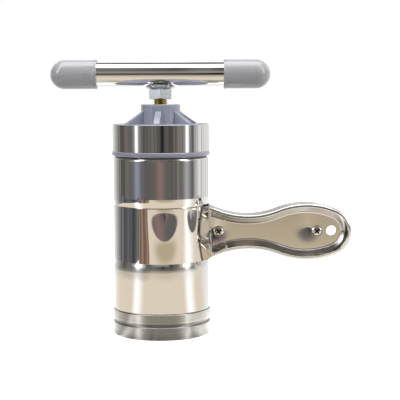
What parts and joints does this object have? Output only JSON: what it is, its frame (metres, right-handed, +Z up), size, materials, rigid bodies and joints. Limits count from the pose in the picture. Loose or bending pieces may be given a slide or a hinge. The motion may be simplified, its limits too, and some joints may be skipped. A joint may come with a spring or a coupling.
{
  "type": "screw noodle press",
  "caption": "Hand-cranked noodle press: a T-handle screw drives a piston down a round steel barrel and pushes dough through a die, with a stamped side handle and a plastic lid.",
  "frame": {"origin": "on the barrel's axis, in the plane that the die cap stands on", "axes": "+Z up the barrel towards the T-handle; +X along the side handle and the T-handle; -Y towards the front"},
  "size_m": [0.2053, 0.0672, 0.1877],
  "materials": {
    "polished_steel": "mirror-polished stainless sheet",
    "turned_aluminium": "fine turned",
    "die_steel": "satin stainless",
    "zinc_steel": "bright zinc plated",
    "yellow_zinc": "yellow-passivated zinc",
    "brass": "machined",
    "grey_plastic": "moulded, semi-gloss",
    "grey_vinyl": "dipped soft vinyl"
  },
  "bodies": {
    "barrel": {"inner_cylinder": "turned_aluminium", "outer_shell": "polished_steel", "handle_strap": "polished_steel", "handle_screws": "zinc_steel", "handle_spacers": "zinc_steel", "handle_nuts": "zinc_steel"},
    "lid": {"lid_moulding": "grey_plastic", "lid_band": "polished_steel", "lid_nut": "brass"},
    "piston": {"piston_plate": "grey_plastic", "thrust_washer": "zinc_steel"},
    "screw": {"lead_screw": "yellow_zinc", "retaining_washer": "zinc_steel", "retaining_screw": "zinc_steel", "flange_nut": "zinc_steel", "handle_tube": "polished_steel", "grip_cap_left": "grey_vinyl", "grip_cap_right": "grey_vinyl"},
    "die": {"die_plate": "die_steel"},
    "cap": {"die_cap": "turned_aluminium"}
  },
  "joints": [
    {"name": "lid_lift", "type": "slide", "parent": "barrel", "child": "lid", "axis": [0, 0, 1], "range_m": [0, 0.15]},
    {"name": "piston_travel", "type": "slide", "parent": "lid", "child": "piston", "axis": [0, 0, 1], "range_m": [-0.003, 0.112]},
    {"name": "screw_turn", "type": "hinge", "parent": "piston", "child": "screw", "pos_m": [0, 0, 0.1], "axis": [0, 0, 1], "range_deg": [-720, 26880]},
    {"name": "die_cap_drop", "type": "slide", "parent": "barrel", "child": "die", "axis": [0, 0, -1], "range_m": [0, 0.005]},
    {"name": "die_cap_turn", "type": "hinge", "parent": "die", "child": "cap", "pos_m": [0, 0, 0.004], "axis": [0, 0, -1], "range_deg": [0, 900]}
  ],
  "couplings": [
    {"joint": "piston_travel", "follows": "screw_turn", "m_per_rad": 0.00023873},
    {"joint": "die_cap_drop", "follows": "die_cap_turn", "m_per_rad": 0.00031831}
  ]
}
